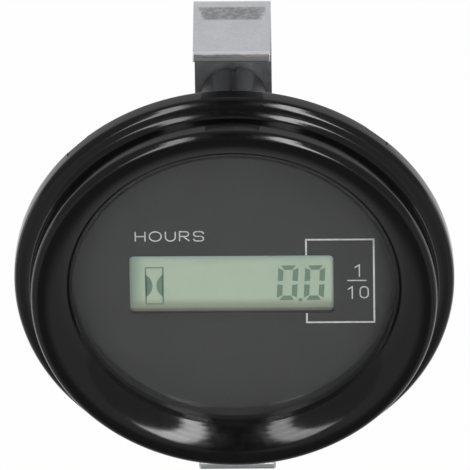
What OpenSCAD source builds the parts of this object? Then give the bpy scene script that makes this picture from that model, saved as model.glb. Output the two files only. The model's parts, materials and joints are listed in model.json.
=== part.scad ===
// Panel hour meter: a round liquid-crystal counter held in its panel by a stirrup bracket.
// Millimetres. +X is right, +Y is to the rear and +Z is up.
// The origin is the centre of the flange's rear face, which seats on the panel.

/* [Bezel] */
// Width of the flange beyond the barrel
flange_w = 4.6; // [3:0.1:8]
// Thickness of the flange at its rim
flange_t = 2.7; // [2.3:0.1:3.1]
// Width of the flange's rim outside the raised ring
rim_w = 2.3; // [1.5:0.1:3.5]
// Slope of the flange's front face, which rises from the rim to the raised ring
flank_tilt = 8; // [0:0.5:15]
// Height of the raised ring in front of the flange's rim
ring_h = 4.65; // [4.25:0.05:5.25]
// Radius of the ring's outer front edge
crest_r = 1; // [0.6:0.1:1.6]
// Overlap of the opening's lip on the lens
lip_hold = 1.85; // [1.25:0.05:2.25]
// Drop of the curved ring face from its crest to the lip of the opening
lip_drop = 2.3; // [1.9:0.1:2.6]
// Taper of the opening's wall between lip and lens
lip_taper = 0.1; // [0.1:0.1:0.5]
// Width of the four small notches on the flange's rim
notch_w = 3.7; // [2:0.1:5]

/* [Panel barrel] */
// Diameter of the barrel that passes through the panel hole
barrel_d = 50.8; // [46:0.2:60]
// Wall of the barrel
barrel_wall = 1.3; // [1:0.1:1.5]

/* [Lens and dial] */
// Depth of the lens seat in front of the flange's rear face
lens_seat = 3.9; // [3.7:0.1:4.3]
// Thickness of the lens
lens_t = 2; // [1.6:0.1:2.2]
// Thickness of the seal ring that spaces lens and dial
seal_t = 1.7; // [1.6:0.1:1.9]
// Width of the seal around the dial
seal_w = 1.85; // [1:0.05:3]
// Thickness of the dial plate
dial_t = 0.6; // [0.4:0.1:1]

/* [Display] */
// Width of the window in the dial
window_w = 27.8; // [26:0.2:29]
// Height of the window in the dial
window_h = 9; // [8:0.2:10]
// Offset of the window to the right of the axis
window_x = -0.4; // [-1:0.1:1]
// Offset of the window above the axis
window_z = -1.3; // [-2:0.1:0]
// Margin of the display glass around the window
glass_margin = 2.2; // [1.8:0.1:2.6]
// Height of the contact ledge along the top and bottom of the front glass
ledge_h = 1.8; // [1.5:0.1:2]
// Thickness of one sheet of display glass
glass_t = 0.55; // [0.4:0.05:0.7]
// Thickness of a polarizing film
film_t = 0.2; // [0.1:0.05:0.3]
// Depth of the frame that carries the display
frame_t = 2.2; // [2:0.1:2.6]

/* [Circuit board] */
// Gap between the board's edge and the wall around it
board_gap = 0.8; // [0.3:0.1:2]
// Thickness of the board
board_t = 1.2; // [0.8:0.1:1.6]
// Diameter of the filter capacitor
can_d = 6.3; // [5:0.1:6.6]
// Height of the filter capacitor
can_h = 5.4; // [4:0.1:5.8]
// Shank diameter of the board screws
screw_d = 2; // [1.6:0.1:2.2]
// Head diameter of the board screws
screw_head_d = 3.4; // [3:0.1:3.8]

/* [Rear case] */
// Thickness of the case's rear wall
rear_wall_t = 1.5; // [1.2:0.1:2]
// Diameter of the rear hump over the components
hump_d = 34.8; // [34.6:0.1:35.6]
// Height of the hump behind the rear wall
hump_h = 5.5; // [5:0.1:6]
// Wall of the hump
hump_wall = 1.5; // [1.2:0.1:1.6]
// Height of the two bracket bosses behind the rear wall
boss_h = 8.6; // [7.6:0.1:9.6]
// Diameter of the two bracket bosses
boss_d = 9.1; // [8.6:0.1:9.4]

/* [Studs and bracket] */
// Distance from a boss to the edge of the barrel
boss_edge = 1.6; // [0.8:0.1:1.8]
// Thread diameter of the studs
stud_d = 4; // [3:0.5:4]
// Travel of the bracket along the studs
bracket_travel = 5; // [2:0.5:8]
// Width of the bracket strip
strip_w = 10.5; // [9:0.1:12]
// Thickness of the bracket strip
strip_t = 1.4; // [1:0.1:1.7]
// Space between the flange's rim and the legs of the bracket
leg_space = 3.1; // [2.5:0.1:6]
// Gap between the ends of the legs and the panel face of the flange
panel_gap = 1.7; // [0.5:0.1:4]
// Outer radius of the bends in the strip
bend_r = 2; // [1.8:0.1:4]
// Corner radius at the ends of the legs
leg_corner_r = 0.4; // [0.3:0.1:2]
// Width across the flats of the nuts
nut_flats = 7; // [7:0.1:8]
// Height of the nuts
nut_h = 3.2; // [2.4:0.1:4]
// Outer diameter of the lock washers
washer_d = 7.6; // [7:0.1:8]
// Thickness of the lock washers
washer_t = 0.9; // [0.6:0.1:1.2]

/* [Terminals] */
// Distance between the two push-on tabs
tab_pitch = 20; // [19:0.1:21]
// Width of a tab
tab_w = 6.3; // [4.8:0.1:6.3]
// Thickness of a tab
tab_t = 0.8; // [0.5:0.1:0.8]
// Length of a tab behind the hump
tab_len = 8.5; // [7:0.1:10]

/* [Hidden] */
$fn = 96;
over = 1;             // how far a cutter runs past the face it cuts
slip = 0.2;           // loose clearance between a piece and the bore it drops into
fit = 0.1;            // clearance around a tab, a film or a snap
thread_fit = 0.05;    // radial clearance of a nut on its stud
stud_hole_gap = 0.3;  // radial clearance of the bracket's holes around the studs

// Stack along the axis, from the lens to the rear
lens_y = -lens_seat;
lens_rear_y = lens_y + lens_t;
dial_y = lens_rear_y + seal_t;
frame_y = dial_y + dial_t;
board_y = frame_y + frame_t;
parts_y = board_y + board_t;
part_room = 0.7;
floor_y = parts_y + part_room;
case_rear_y = floor_y + rear_wall_t;
hump_y = case_rear_y + hump_h;
boss_y = case_rear_y + boss_h;
web_gap = 0.1;
web_y = boss_y + web_gap;
web_rear_y = web_y + strip_t;
washer_y = web_rear_y;
nut_y = washer_y + washer_t;
stud_spare = 0.65;
stud_end_y = nut_y + nut_h + bracket_travel + stud_spare;

// Bezel and barrel
barrel_r = barrel_d / 2;
bezel_r = barrel_r + flange_w;
ring_r = bezel_r - rim_w;
bore_r = barrel_r - barrel_wall;
disc_r = bore_r - slip;
dial_view_r = disc_r - seal_w;
opening_r = disc_r - lip_hold;
lip_r = opening_r + lip_taper;
crest_y = -flange_t - ring_h;
crest_at_r = ring_r - crest_r;
face_run = crest_at_r - lip_r;
face_r = (face_run * face_run + lip_drop * lip_drop) / (2 * lip_drop);
root_r = 1;
flank_share = tan(45 - flank_tilt / 2);
root_y = -flange_t - rim_w * tan(flank_tilt) - root_r * flank_share;
rim_rear_r = 0.4;
rim_front_r = 1;
rim_front_y = -flange_t + rim_front_r * flank_share;
notch_depth = 0.2;
notch_reach = 1.2;
notch_angles = [49, 135, 225, 315];
collar_step = 0.4;
collar_len = 1.1;
collar_r = barrel_r + collar_step;
pocket_r = collar_r + fit;
pocket_y = -collar_len - fit;
snap_y = -0.4;
snap_len = 0.6;
snap_depth = 0.35;
snap_angles = [45, 135, 225, 315];
snap_w = 8;

// Display
glass_w = window_w + 2 * glass_margin;
glass_h = window_h + 2 * glass_margin + ledge_h;
rear_glass_h = glass_h - 2 * ledge_h;
film_margin = 0.5;
glass_y = frame_y + film_t;
rear_glass_y = glass_y + glass_t;
reflector_y = rear_glass_y + glass_t;
window_corner_r = 0.6;
strip_depth = ledge_h - 2 * fit;
strip_at_z = glass_h / 2 - ledge_h / 2;

// Board parts, measured from the rear face of the board
tab_x = tab_pitch / 2;
shoulder_step = 0.75;
shoulder_w = tab_w + 2 * shoulder_step;
shoulder_end_gap = 0.5;
tail_w = 2.4;
screw_x = 6;
screw_margin = 1.6;
screw_z = glass_h / 2 + slip + screw_margin;
screw_head_h = 1.2;
chip_column_x = tab_x - 0.4;
chip_row_z = shoulder_w / 2 + 0.3;
resistor_size = [3.2, 0.55, 1.6];
ceramic_size = [2, 0.9, 1.25];
diode_size = [2.6, 2.2, 4.2];
memory_size = [3, 1.1, 4.4];
chip_gap = 0.6;
blob_r = 3.4;
blob_h = 1.5;
crystal_r = 1;
crystal_len = 6;
crystal_x = -5.8;
diode_x = 5.9;
absorber_r = 3.4;
absorber_t = 3;
can_z = blob_r + can_d / 2 + 1.2;
absorber_z = -blob_r - absorber_r - 0.6;

// Rear case
step_w = 1.3;
step_r = bore_r - step_w;
board_r = step_r - board_gap;
hump_r = hump_d / 2;
cavity_r = hump_r - hump_wall;
hump_edge_r = 1.2;
boss_r = boss_d / 2;
stud_z = barrel_r - boss_edge - boss_r;
groove_w = 0.8;
groove_depth = 0.6;
mark_len = 3;
mark_w = 0.8;
mark_h = 0.4;
mark_gap = 3;
mark_z = shoulder_w / 2 + mark_gap;

// Studs, nuts and bracket
stud_r = stud_d / 2;
stud_head_step = 1;
stud_head_r = stud_r + stud_head_step;
stud_head_h = 1.6;
stud_fit = 0.02;
tip_h = 0.5;
leg_out_z = bezel_r + leg_space + strip_t;
bend_in_r = bend_r - strip_t;
nut_corner_r = nut_flats / 2 / cos(30);
nut_bevel_h = 0.5;
washer_in_r = stud_r + 0.2;
washer_slit = 0.7;
tab_end_y = hump_y + tab_len;
tab_hole_r = 0.9;
tab_hole_from_tip = 3.6;
tab_tip_bevel = 1.2;

// Points along an arc in the plane of a profile
function arc(centre, r, from, to, steps = 8) =
    [for (i = [0:steps]) let (a = from + (to - from) * i / steps) centre + r * [cos(a), sin(a)]];

// A body of revolution about Y, from a profile of [radius, y] points
module turned(profile) {
    rotate([-90, 0, 0]) rotate_extrude() polygon(profile);
}

// A cylinder along Y between two places on the axis
module rod(r, from_y, to_y) {
    translate([0, from_y, 0]) rotate([-90, 0, 0]) cylinder(h = to_y - from_y, r = r);
}

// A box centred on X and Z between two places on the axis
module slab(w, h, from_y, to_y) {
    translate([-w / 2, from_y, -h / 2]) cube([w, to_y - from_y, h]);
}

// A flat outline of [y, z] points, given a thickness along X
module side_plate(t) {
    rotate([90, 0, 90]) linear_extrude(height = t, center = true) children();
}

// Turns something about the axis of the meter
module around(angle) {
    rotate([0, -angle, 0]) children();
}

// A body that stands on the rear face of the board
module on_board(x, z) {
    translate([x, parts_y, z]) children();
}

module chip(size) {
    translate([-size.x / 2, 0, -size.z / 2]) cube(size);
}

module at_display() {
    translate([window_x, 0, window_z]) children();
}

module front_bezel() {
    face_centre = [crest_at_r, crest_y + face_r];
    lip_angle = -90 - asin(face_run / face_r);
    profile = concat(
        [[opening_r, lens_y]],
        arc(face_centre, face_r, lip_angle, -90, 12),
        arc([crest_at_r, crest_y + crest_r], crest_r, -90, 0),
        arc([ring_r + root_r, root_y], root_r, 180, 90 + flank_tilt),
        arc([bezel_r - rim_front_r, rim_front_y], rim_front_r, flank_tilt - 90, 0),
        arc([bezel_r - rim_rear_r, -rim_rear_r], rim_rear_r, 0, 90, 4),
        [[pocket_r, 0], [pocket_r, snap_y], [pocket_r + snap_depth, snap_y],
         [pocket_r + snap_depth, snap_y - snap_len], [pocket_r, snap_y - snap_len],
         [pocket_r, pocket_y], [bore_r, pocket_y], [bore_r, lens_y]]);
    color([0.05, 0.05, 0.055]) difference() {
        turned(profile);
        for (a = notch_angles) around(a)
            translate([bezel_r - notch_depth, -notch_reach, -notch_w / 2])
                cube([over, notch_reach + over, notch_w]);
    }
}

module lens() {
    color([0.85, 0.9, 0.92, 0.35]) rod(disc_r, lens_y, lens_rear_y);
}

module lens_seal() {
    color([0.04, 0.04, 0.04]) difference() {
        rod(disc_r, lens_rear_y, dial_y);
        rod(dial_view_r, lens_rear_y - over, dial_y + over);
    }
}

// The window with its rounded corners, as a cutter along Y
module window_cut() {
    inner = [window_w - 2 * window_corner_r, window_h - 2 * window_corner_r];
    from_y = dial_y - over;
    to_y = frame_y + over;
    slab(inner.x, window_h, from_y, to_y);
    slab(window_w, inner.y, from_y, to_y);
    for (x = [-1, 1], z = [-1, 1])
        translate([x * inner.x / 2, 0, z * inner.y / 2]) rod(window_corner_r, from_y, to_y);
}

module dial_plate() {
    color([0.2, 0.2, 0.21]) difference() {
        rod(disc_r, dial_y, frame_y);
        at_display() window_cut();
    }
}

module lcd_front_polarizer() {
    color([0.62, 0.66, 0.6]) at_display()
        slab(glass_w - 2 * film_margin, rear_glass_h - 2 * film_margin, frame_y, glass_y);
}

// Two bonded sheets: the front one stands past the rear one to bare its contacts
module lcd_cell() {
    color([0.66, 0.7, 0.64]) at_display() {
        slab(glass_w, glass_h, glass_y, rear_glass_y);
        slab(glass_w, rear_glass_h, rear_glass_y, reflector_y);
    }
}

module lcd_reflector() {
    color([0.75, 0.76, 0.72]) at_display()
        slab(glass_w - 2 * film_margin, rear_glass_h - 2 * film_margin,
             reflector_y, reflector_y + film_t);
}

module screw_places() {
    for (x = [-1, 1], z = [-1, 1])
        translate([x * screw_x, 0, window_z + z * screw_z]) children();
}

module lcd_frame() {
    color([0.9, 0.9, 0.88]) difference() {
        rod(disc_r, frame_y, board_y);
        at_display() slab(glass_w + 2 * slip, glass_h + 2 * slip, frame_y - over, board_y + over);
        screw_places() rod(screw_d / 2 + stud_fit, frame_y - over, board_y + over);
    }
}

module elastomer_strip(side) {
    color([0.25, 0.25, 0.28]) at_display() translate([0, 0, side * strip_at_z])
        slab(glass_w - 2 * film_margin, strip_depth, rear_glass_y, board_y);
}

module elastomer_strip_upper() {
    elastomer_strip(1);
}

module elastomer_strip_lower() {
    elastomer_strip(-1);
}

module circuit_board() {
    color([0.1, 0.35, 0.18]) difference() {
        rod(board_r, board_y, parts_y);
        screw_places() rod(screw_d / 2 + fit, board_y - over, parts_y + over);
        for (x = [-1, 1]) translate([x * tab_x, 0, 0])
            slab(tab_t + 2 * fit, tail_w + 2 * fit, board_y - over, parts_y + over);
    }
}

module board_screws() {
    color([0.75, 0.75, 0.77]) screw_places() {
        rod(screw_d / 2, frame_y + fit, parts_y);
        rod(screw_head_d / 2, parts_y, parts_y + screw_head_h);
    }
}

// A drop of black resin over the bare controller, cut from a sphere
module controller_chip() {
    dome_r = (blob_r * blob_r + blob_h * blob_h) / (2 * blob_h);
    color([0.06, 0.06, 0.06]) on_board(0, 0) intersection() {
        translate([0, blob_h - dome_r, 0]) sphere(r = dome_r);
        rod(blob_r + over, 0, blob_h + over);
    }
}

module memory_chip() {
    color([0.1, 0.1, 0.1])
        on_board(-chip_column_x, chip_row_z + memory_size.z / 2) chip(memory_size);
}

module quartz_crystal() {
    color([0.8, 0.8, 0.82]) on_board(crystal_x, -crystal_len / 2)
        translate([0, crystal_r, 0]) cylinder(h = crystal_len, r = crystal_r);
}

module filter_capacitor() {
    base = [can_d + 0.3, 0.8, can_d + 0.3];
    color([0.78, 0.78, 0.8]) on_board(0, can_z) {
        chip(base);
        rod(can_d / 2, 0, can_h);
    }
}

module surge_absorber() {
    color([0.15, 0.3, 0.6]) on_board(0, absorber_z) rod(absorber_r, 0, absorber_t);
}

module rectifier_diodes() {
    color([0.1, 0.1, 0.1]) for (z = [-1, 1])
        on_board(diode_x, z * (diode_size.z + chip_gap) / 2) chip(diode_size);
}

// Two chips one under the other, beyond the shoulder of a tab
module chip_column(x, side, size) {
    for (i = [0, 1])
        on_board(x, side * (chip_row_z + size.z / 2 + i * (size.z + chip_gap))) chip(size);
}

module dropper_resistors() {
    color([0.12, 0.12, 0.13]) for (x = [-1, 1])
        chip_column(x * chip_column_x, -1, resistor_size);
}

module ceramic_capacitors() {
    color([0.7, 0.58, 0.42]) chip_column(chip_column_x, 1, ceramic_size);
}

// One stud boss with the mould's groove along its outer side
module boss(side) {
    difference() {
        translate([0, 0, side * stud_z]) rod(boss_r, floor_y, boss_y);
        translate([0, 0, side * (stud_z + boss_r)])
            slab(groove_w, 2 * groove_depth, case_rear_y, boss_y + over);
    }
}

// Raised polarity marks beside the tabs
module polarity_marks() {
    for (x = [-1, 1]) translate([x * tab_x, 0, mark_z])
        slab(mark_len, mark_w, hump_y, hump_y + mark_h);
    translate([tab_x, 0, mark_z]) slab(mark_w, mark_len, hump_y, hump_y + mark_h);
}

// The cup behind the bezel: collar, barrel, rear wall, and a step inside for the display frame
module rear_case() {
    cup_profile = [[bore_r, -collar_len], [collar_r, -collar_len], [collar_r, 0], [barrel_r, 0],
                   [barrel_r, case_rear_y], [0, case_rear_y], [0, floor_y], [step_r, floor_y],
                   [step_r, board_y], [bore_r, board_y]];
    hump_profile = concat(
        [[0, floor_y], [hump_r, floor_y]],
        arc([hump_r - hump_edge_r, hump_y - hump_edge_r], hump_edge_r, 0, 90),
        [[0, hump_y]]);
    barb_y = snap_y - fit;
    barb_profile = [[bore_r, barb_y - snap_len + 2 * fit], [collar_r, barb_y - snap_len + 2 * fit],
                    [collar_r + snap_depth - fit, barb_y], [bore_r, barb_y]];
    color([0.07, 0.07, 0.075]) difference() {
        union() {
            turned(cup_profile);
            turned(hump_profile);
            for (side = [-1, 1]) boss(side);
            polarity_marks();
            intersection() {
                turned(barb_profile);
                for (a = snap_angles) around(a)
                    translate([0, -collar_len, -snap_w / 2]) cube([bezel_r, collar_len, snap_w]);
            }
        }
        rod(cavity_r, floor_y - over, hump_y - hump_wall);
        for (side = [-1, 1]) translate([0, 0, side * stud_z]) {
            rod(stud_r + stud_fit, floor_y - over, boss_y + over);
            rod(stud_head_r + stud_fit, floor_y - over, floor_y + stud_head_h);
        }
        for (x = [-1, 1]) translate([x * tab_x, 0, 0])
            slab(tab_t + 2 * fit, tab_w + 2 * fit, floor_y, hump_y + over);
    }
}

// A push-on tab: tail in the board, shoulder inside the hump, bevelled tip with its hole
module terminal(side) {
    shoulder_end_y = hump_y - hump_wall - shoulder_end_gap;
    half = tab_w / 2;
    outline = [[board_y, -tail_w / 2], [parts_y, -tail_w / 2], [parts_y, -shoulder_w / 2],
               [shoulder_end_y, -shoulder_w / 2], [shoulder_end_y, -half],
               [tab_end_y - tab_tip_bevel, -half], [tab_end_y, -half + tab_tip_bevel],
               [tab_end_y, half - tab_tip_bevel], [tab_end_y - tab_tip_bevel, half],
               [shoulder_end_y, half], [shoulder_end_y, shoulder_w / 2],
               [parts_y, shoulder_w / 2], [parts_y, tail_w / 2], [board_y, tail_w / 2]];
    color([0.8, 0.76, 0.62]) translate([side * tab_x, 0, 0]) side_plate(tab_t) difference() {
        polygon(outline);
        translate([tab_end_y - tab_hole_from_tip, 0]) circle(r = tab_hole_r);
    }
}

module terminal_positive() {
    terminal(1);
}

module terminal_negative() {
    terminal(-1);
}

module stud(side) {
    color([0.72, 0.72, 0.74]) translate([0, 0, side * stud_z]) {
        rod(stud_head_r, floor_y, floor_y + stud_head_h);
        rod(stud_r, floor_y, stud_end_y - tip_h);
        translate([0, stud_end_y - tip_h, 0]) rotate([-90, 0, 0])
            cylinder(h = tip_h, r1 = stud_r, r2 = stud_r - tip_h);
    }
}

module stud_upper() {
    stud(1);
}

module stud_lower() {
    stud(-1);
}

// Side outline of a block whose two rear corners are rounded, open to the front
module u_outline(from_y, to_y, half_z, r) {
    translate([from_y, -half_z]) square([to_y - r - from_y, 2 * half_z]);
    translate([from_y, r - half_z]) square([to_y - from_y, 2 * (half_z - r)]);
    for (z = [-1, 1]) translate([to_y - r, z * (half_z - r)]) circle(r = r);
}

// What is cut from one side of both legs to round their front corners
module leg_corner_cut() {
    reach = leg_corner_r + over;
    height = 2 * (leg_out_z + over);
    translate([strip_w / 2 - leg_corner_r, panel_gap + leg_corner_r, -leg_out_z - over])
        difference() {
            translate([0, -reach, 0]) cube([reach, reach, height]);
            translate([0, 0, -over]) cylinder(h = height + 2 * over, r = leg_corner_r);
        }
}

module mounting_bracket() {
    color([0.7, 0.71, 0.72]) difference() {
        side_plate(strip_w) difference() {
            u_outline(panel_gap, web_rear_y, leg_out_z, bend_r);
            u_outline(panel_gap - over, web_y, leg_out_z - strip_t, bend_in_r);
        }
        for (side = [-1, 1]) translate([0, 0, side * stud_z])
            rod(stud_r + stud_hole_gap, web_y - over, web_rear_y + over);
        for (x = [0, 1]) mirror([x, 0, 0]) leg_corner_cut();
    }
}

module lock_washer(side) {
    color([0.66, 0.67, 0.68]) translate([0, 0, side * stud_z]) difference() {
        rod(washer_d / 2, washer_y, washer_y + washer_t);
        rod(washer_in_r, washer_y - over, washer_y + washer_t + over);
        around(60) translate([0, washer_y - over, -washer_slit / 2])
            cube([washer_d, washer_t + 2 * over, washer_slit]);
    }
}

module lock_washer_upper() {
    lock_washer(1);
}

module lock_washer_lower() {
    lock_washer(-1);
}

// A hexagon nut with both faces bevelled
module nut(side) {
    flat_r = nut_flats / 2;
    bevel = [[0, 0], [flat_r, 0], [nut_corner_r + fit, nut_bevel_h],
             [nut_corner_r + fit, nut_h - nut_bevel_h], [flat_r, nut_h], [0, nut_h]];
    color([0.74, 0.74, 0.75]) translate([0, nut_y, side * stud_z]) difference() {
        intersection() {
            rotate([-90, 0, 0]) cylinder(h = nut_h, r = nut_corner_r, $fn = 6);
            turned(bevel);
        }
        rod(stud_r + thread_fit, -over, nut_h + over);
    }
}

module nut_upper() {
    nut(1);
}

module nut_lower() {
    nut(-1);
}

front_bezel();
lens();
lens_seal();
dial_plate();
lcd_front_polarizer();
lcd_cell();
lcd_reflector();
lcd_frame();
elastomer_strip_upper();
elastomer_strip_lower();
circuit_board();
board_screws();
controller_chip();
memory_chip();
quartz_crystal();
filter_capacitor();
surge_absorber();
rectifier_diodes();
dropper_resistors();
ceramic_capacitors();
rear_case();
terminal_positive();
terminal_negative();
stud_upper();
stud_lower();
mounting_bracket();
lock_washer_upper();
lock_washer_lower();
nut_upper();
nut_lower();
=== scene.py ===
"""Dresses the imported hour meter: its finished pieces, their surfaces and a small studio."""

import json
import math

import bmesh
import bpy
from bpy.props import FloatProperty, FloatVectorProperty, PointerProperty
from mathutils import Matrix, Vector

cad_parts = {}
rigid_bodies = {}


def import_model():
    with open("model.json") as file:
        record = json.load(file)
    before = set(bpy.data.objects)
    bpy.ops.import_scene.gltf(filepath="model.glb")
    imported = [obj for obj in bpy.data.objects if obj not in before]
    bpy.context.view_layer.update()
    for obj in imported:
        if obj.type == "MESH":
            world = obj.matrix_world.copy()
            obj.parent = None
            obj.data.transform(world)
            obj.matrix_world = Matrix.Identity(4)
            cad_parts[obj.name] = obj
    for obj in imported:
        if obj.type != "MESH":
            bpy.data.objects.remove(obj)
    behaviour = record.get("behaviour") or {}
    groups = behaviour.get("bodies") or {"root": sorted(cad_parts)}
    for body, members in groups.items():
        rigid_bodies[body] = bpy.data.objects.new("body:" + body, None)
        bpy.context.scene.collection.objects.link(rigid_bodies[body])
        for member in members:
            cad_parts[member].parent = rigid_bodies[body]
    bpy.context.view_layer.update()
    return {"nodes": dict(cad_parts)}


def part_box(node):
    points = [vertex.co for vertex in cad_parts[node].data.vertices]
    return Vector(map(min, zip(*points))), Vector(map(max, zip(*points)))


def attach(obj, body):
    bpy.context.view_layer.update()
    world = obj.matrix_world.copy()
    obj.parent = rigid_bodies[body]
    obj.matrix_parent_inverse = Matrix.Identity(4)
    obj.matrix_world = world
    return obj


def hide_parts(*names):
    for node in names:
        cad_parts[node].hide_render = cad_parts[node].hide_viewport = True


bl_info = {
    "name": "Hour meter",
    "version": (1, 0, 0),
    "blender": (4, 5, 0),
    "location": "View3D > Sidebar > Hour meter",
    "description": "Builds the finished pieces of a panel hour meter around its packed solids",
    "category": "Object",
}

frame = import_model()
MM = 0.001
WELD = 0.0005 * MM

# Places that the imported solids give
BEZEL_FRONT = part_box("front_bezel")[0].y
BEZEL_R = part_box("front_bezel")[1].x
DISC_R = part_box("lens")[1].x
LENS_FRONT, LENS_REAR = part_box("lens")[0].y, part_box("lens")[1].y
DIAL_FRONT, DIAL_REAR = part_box("dial_plate")[0].y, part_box("dial_plate")[1].y
FILM_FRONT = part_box("lcd_front_polarizer")[0].y
CASE_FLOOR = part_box("stud_upper")[0].y
STUD_Z = (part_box("stud_upper")[0].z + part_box("stud_upper")[1].z) / 2

# The four corners of a square about its middle, in turn
CORNERS = ((-1, -1), (1, -1), (1, 1), (-1, 1))


# Sizes and colours that a user would change


def length(name, description, default):
    """A size in metres, given here in millimetres."""
    return FloatProperty(name=name, description=description, default=default * MM, unit="LENGTH",
                         precision=5)


def turn(name, description, default):
    """An angle, given here in degrees."""
    return FloatProperty(name=name, description=description, default=math.radians(default), subtype="ANGLE")


def colour(name, description, default):
    """A linear colour."""
    return FloatVectorProperty(name=name, description=description, default=default, size=3, min=0, max=1,
                               subtype="COLOR")


class BezelSizes(bpy.types.PropertyGroup):
    """The turned section of the bezel."""

    flange_t: length("Flange thickness", "Thickness of the flange on the panel", 2.7)
    flank_tilt: turn("Flank slope", "Slope of the flange's front face", 8)
    rim_w: length("Rim width", "Width of the flange outside the raised ring", 2.3)
    crest_round: length("Crest rounding", "Radius of the ring's outer front edge", 1.0)
    lip_r: length("Lip radius", "Radius at the lip of the curved ring face", 22.15)
    lip_drop: length("Lip drop", "Depth of the lip behind the crest", 2.3)
    opening_r: length("Opening radius", "Radius of the opening where it meets the lens", 22.05)
    bore_r: length("Lens bore", "Radius of the bore around the lens", 24.1)
    pocket_r: length("Case pocket", "Radius of the pocket for the rear case", 25.9)
    pocket_depth: length("Pocket depth", "Depth of the pocket for the rear case", 1.2)
    rim_front_round: length("Front rim rounding", "Radius of the flange's front edge", 1.0)
    rim_rear_round: length("Rear rim rounding", "Radius of the flange's rear edge", 0.4)
    root_round: length("Root rounding", "Radius between ring and flange", 1.0)
    notch_w: length("Notch width", "Width of the four small notches on the rim", 3.7)
    notch_depth: length("Notch depth", "Depth of the notches", 0.2)
    notch_reach: length("Notch reach", "How far the notches run forward from the rear face", 1.2)


class DialSizes(bpy.types.PropertyGroup):
    """The dial, its print and its display."""

    window_w: length("Window width", "Width of the display window", 27.8)
    window_h: length("Window height", "Height of the display window", 9.5)
    window_x: length("Window place across", "Middle of the window to the right of the axis", -0.4)
    window_z: length("Window place up", "Middle of the window above the axis", -1.55)
    window_round: length("Window corners", "Corner radius of the window", 0.6)
    print_t: length("Print thickness", "Thickness of the printed legend", 0.02)
    letter_stroke: length("Letter stroke", "Width of the strokes in the legend", 0.165)
    box_stroke: length("Box line", "Width of the line around the tenths", 0.24)
    digit_w: length("Digit width", "Width of a display digit", 2.76)
    digit_h: length("Digit height", "Height of a display digit", 5.75)
    segment_w: length("Segment width", "Width of a digit's segment", 0.74)
    slant: turn("Slant", "Lean of the display digits", 3)


class RearSizes(bpy.types.PropertyGroup):
    """The rear case, the bracket and the hardware."""

    barrel_r: length("Barrel radius", "Radius of the barrel in the panel hole", 25.4)
    hump_r: length("Hump radius", "Radius of the hump over the board", 17.4)
    hump_round: length("Hump rounding", "Radius of the hump's rear edge", 1.2)
    boss_r: length("Boss radius", "Radius of the two stud bosses", 4.55)
    strip_t: length("Strip thickness", "Thickness of the bracket strip", 1.4)
    bend_r: length("Bend radius", "Outer radius of the bracket's bends", 2.0)
    leg_round: length("Leg corners", "Corner radius at the ends of the legs", 0.4)
    leg_roll: length("Leg end rounding", "Depth of the rounding at the ends of the legs", 0.45)
    stud_r: length("Stud radius", "Outer radius of the stud thread", 2)
    pitch: length("Thread pitch", "Pitch of the stud thread", 0.7)


class Colours(bpy.types.PropertyGroup):
    """The main colours of the meter."""

    bezel: colour("Bezel", "Glossy black plastic of the bezel", (0.0022, 0.0022, 0.0024))
    case: colour("Case", "Satin black plastic of the rear case", (0.017, 0.017, 0.018))
    dial: colour("Dial", "Dark grey print of the dial", (0.019, 0.019, 0.0192))
    legend: colour("Legend", "Light grey print of the legend", (0.44, 0.45, 0.45))
    display: colour("Display", "Green grey of the display", (0.266, 0.322, 0.25))
    segment: colour("Segments", "Dark green grey of the display's segments", (0.100, 0.150, 0.112))
    zinc: colour("Zinc", "Zinc plating of the bracket", (0.72, 0.73, 0.76))


class StudioSizes(bpy.types.PropertyGroup):
    """Camera and lamps."""

    azimuth: turn("Azimuth", "Camera angle round the object, from the front to the right", 0.9)
    elevation: turn("Elevation", "Camera angle above the dial's axis", 34.6)
    roll: turn("Roll", "How far the object leans to the left in the picture", 0.85)
    distance: length("Distance", "Camera distance from the object", 3000)
    focal: FloatProperty(name="Focal length", description="Camera focal length in millimetres",
                         default=1685, subtype="DISTANCE_CAMERA")
    aim_right: length("Aim across", "Middle of the picture to the right of the origin", 0.08)
    aim_up: length("Aim up", "Middle of the picture above the origin", 4.92)
    floor_z: length("Floor height", "Height of the floor below the axis", -350)
    lamp_watts: FloatProperty(name="Lamp power", description="Power of each strip lamp", default=1.0,
                              subtype="POWER")


class MeterSettings(bpy.types.PropertyGroup):
    """All settings of the hour meter."""

    bezel: PointerProperty(type=BezelSizes)
    dial: PointerProperty(type=DialSizes)
    rear: PointerProperty(type=RearSizes)
    colours: PointerProperty(type=Colours)
    studio: PointerProperty(type=StudioSizes)


# Modelling helpers


def rest():
    """Leaves edit mode, deselects everything and goes back to picking by vertex."""
    if bpy.context.mode != "OBJECT":
        bpy.ops.object.mode_set(mode="OBJECT")
    bpy.ops.object.select_all(action="DESELECT")
    bpy.context.tool_settings.mesh_select_mode = (True, False, False)


def take(piece, mode="OBJECT"):
    """Makes a piece the only selected and active one."""
    rest()
    piece.select_set(True)
    bpy.context.view_layer.objects.active = piece
    bpy.ops.object.mode_set(mode=mode)


def pick(piece, kind, test):
    """Selects the edges or faces of a piece in edit mode whose points all pass a test."""
    bpy.ops.mesh.select_mode(type=kind)
    bpy.ops.mesh.select_all(action="DESELECT")
    mesh = bmesh.from_edit_mesh(piece.data)
    for part in mesh.edges if kind == "EDGE" else mesh.faces:
        if all(test(vertex.co) for vertex in part.verts):
            part.select_set(True)
    bmesh.update_edit_mesh(piece.data)


def settle(piece):
    """Merges what meets, turns all faces outwards and leaves edit mode."""
    take(piece, "EDIT")
    bpy.ops.mesh.select_all(action="SELECT")
    bpy.ops.mesh.remove_doubles(threshold=WELD)
    bpy.ops.mesh.normals_make_consistent(inside=False)
    rest()
    return piece


def modify(piece, kind, **settings):
    """Adds a modifier and applies it."""
    take(piece)
    modifier = piece.modifiers.new(kind.title(), kind)
    for name, value in settings.items():
        setattr(modifier, name, value)
    bpy.ops.object.modifier_apply(modifier=modifier.name)
    return piece


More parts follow.
